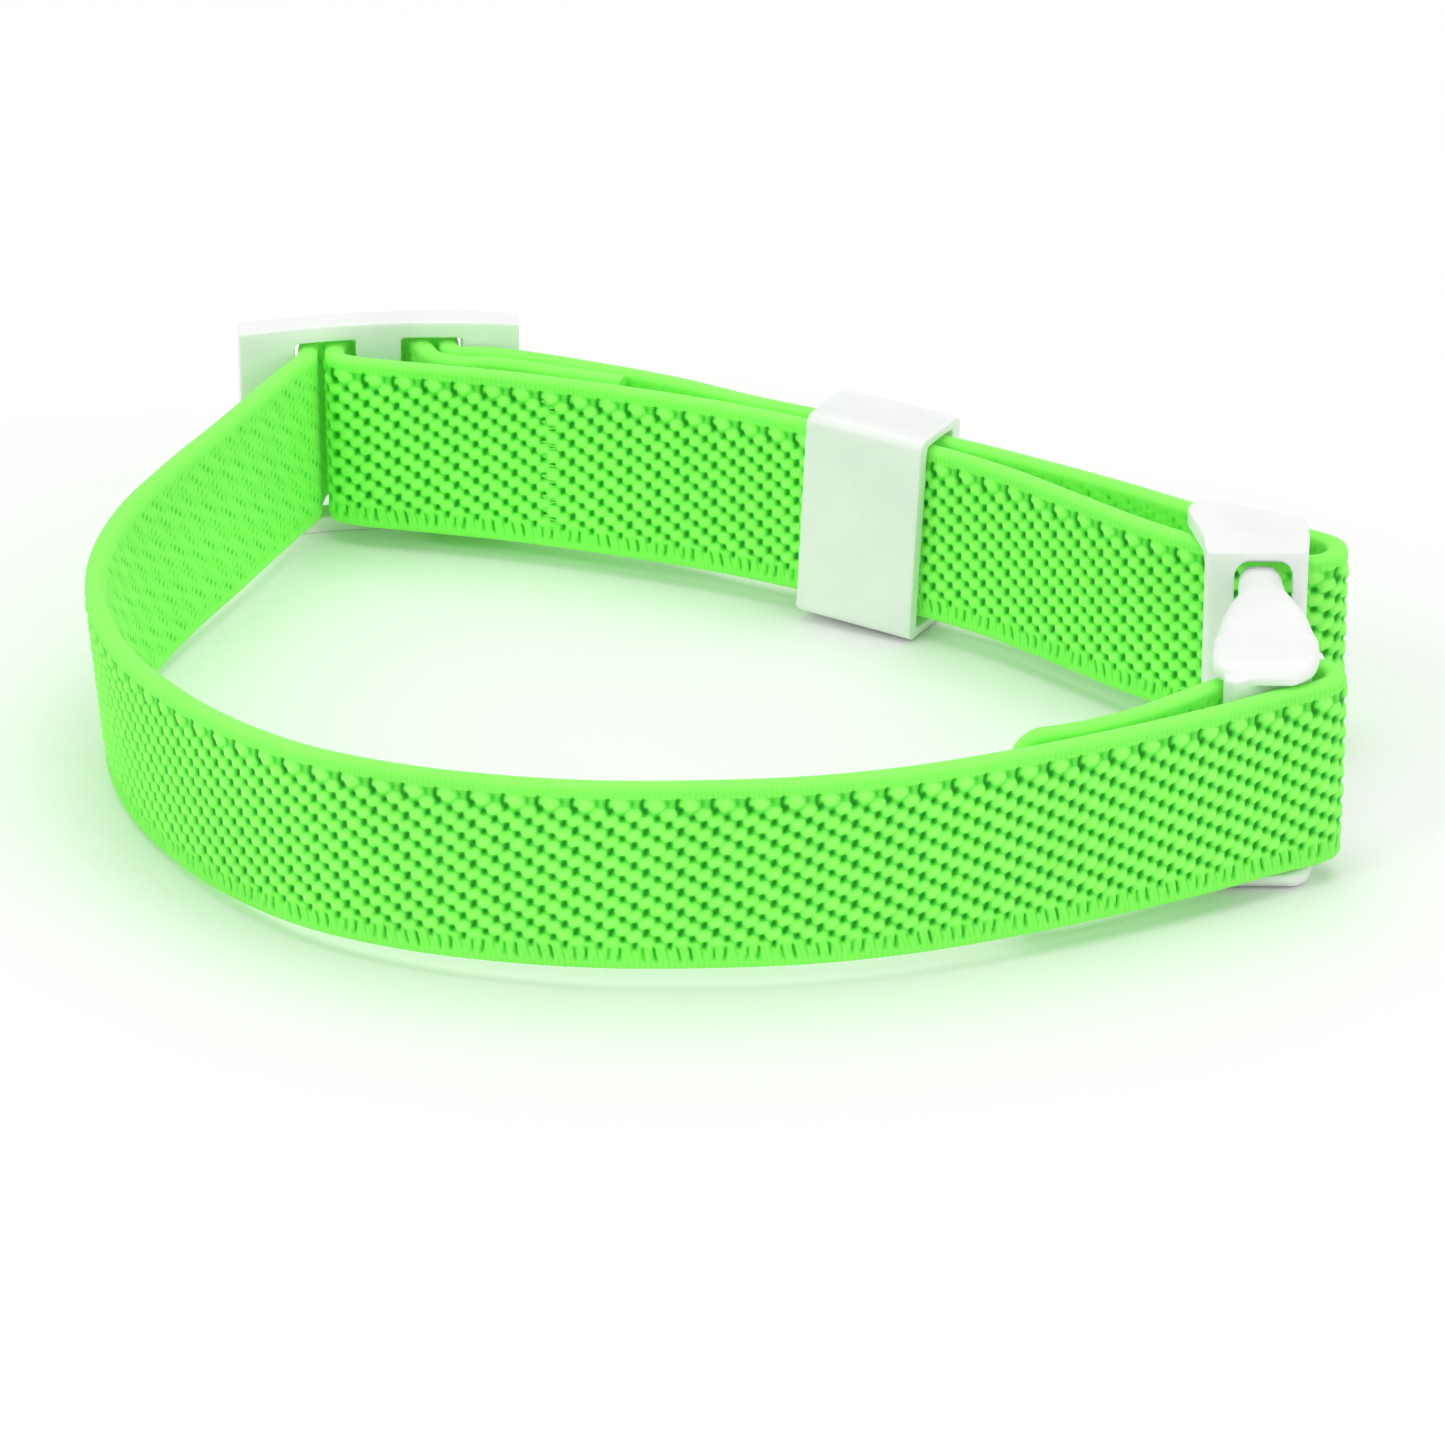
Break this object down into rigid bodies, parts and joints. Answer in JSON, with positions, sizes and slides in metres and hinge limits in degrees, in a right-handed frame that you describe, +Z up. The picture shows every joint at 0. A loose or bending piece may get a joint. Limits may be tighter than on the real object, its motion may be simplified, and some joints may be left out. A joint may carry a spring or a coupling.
{
  "type": "elastic wristband",
  "caption": "Narrow adjustable elastic wristband: woven strap laced through a slider, with a keeper sleeve and a pinch-release clasp.",
  "frame": {"origin": "centre of the loop's bounding box, on the surface that the band's edge stands on", "axes": "+Z up along the webbing's width, +X towards the clasp, +Y from the front run towards the slider side"},
  "size_m": [0.0652, 0.0612, 0.0123],
  "materials": {
    "elastic_webbing": "twill-woven elastic, matt",
    "moulded_white": "moulded, satin",
    "sewing_thread": "spun thread"
  },
  "bodies": {
    "band": {"webbing_left_bend": "elastic_webbing", "webbing_left_lead": "elastic_webbing", "webbing_outer_slack": "elastic_webbing", "webbing_outer_layer": "elastic_webbing", "webbing_catch_fold": "elastic_webbing", "webbing_inner_layer": "elastic_webbing", "webbing_inner_slack": "elastic_webbing", "catch": "moulded_white"},
    "free_end": {"webbing_front_run": "elastic_webbing", "webbing_plug_fold": "elastic_webbing", "plug": "moulded_white", "plug_fold_tack": "sewing_thread"},
    "upper_arm": {"plug_upper_arm": "moulded_white"},
    "lower_arm": {"plug_lower_arm": "moulded_white"},
    "slider": {"slider": "moulded_white", "webbing_slider_lacing": "elastic_webbing", "webbing_slider_fold": "elastic_webbing", "slider_fold_tack": "sewing_thread"},
    "keeper": {"keeper": "moulded_white"}
  },
  "joints": [
    {"name": "band_open", "type": "hinge", "parent": "band", "child": "free_end", "pos_m": [-0.03192, -0.00425, 0.0062], "axis": [0, 0, -1], "range_deg": [0, 70], "stiffness_Nm_per_rad": 0.002, "deforming": ["webbing_left_bend"]},
    {"name": "upper_arm_press", "type": "hinge", "parent": "free_end", "child": "upper_arm", "pos_m": [0.02758, -0.01135, 0.01095], "axis": [-1, 0, 0], "range_deg": [0, 7], "stiffness_Nm_per_rad": 0.05},
    {"name": "lower_arm_press", "type": "hinge", "parent": "free_end", "child": "lower_arm", "pos_m": [0.02758, -0.01135, 0.00135], "axis": [1, 0, 0], "range_deg": [0, 7], "stiffness_Nm_per_rad": 0.05},
    {"name": "slider_travel", "type": "slide", "parent": "band", "child": "slider", "axis": [0.9019, -0.4319, 0], "range_m": [0, 0.005], "deforming": ["webbing_left_lead", "webbing_outer_slack", "webbing_inner_slack"]},
    {"name": "keeper_travel", "type": "slide", "parent": "band", "child": "keeper", "axis": [-0.8788, 0.4772, 0], "range_m": [0, 0.005]}
  ]
}
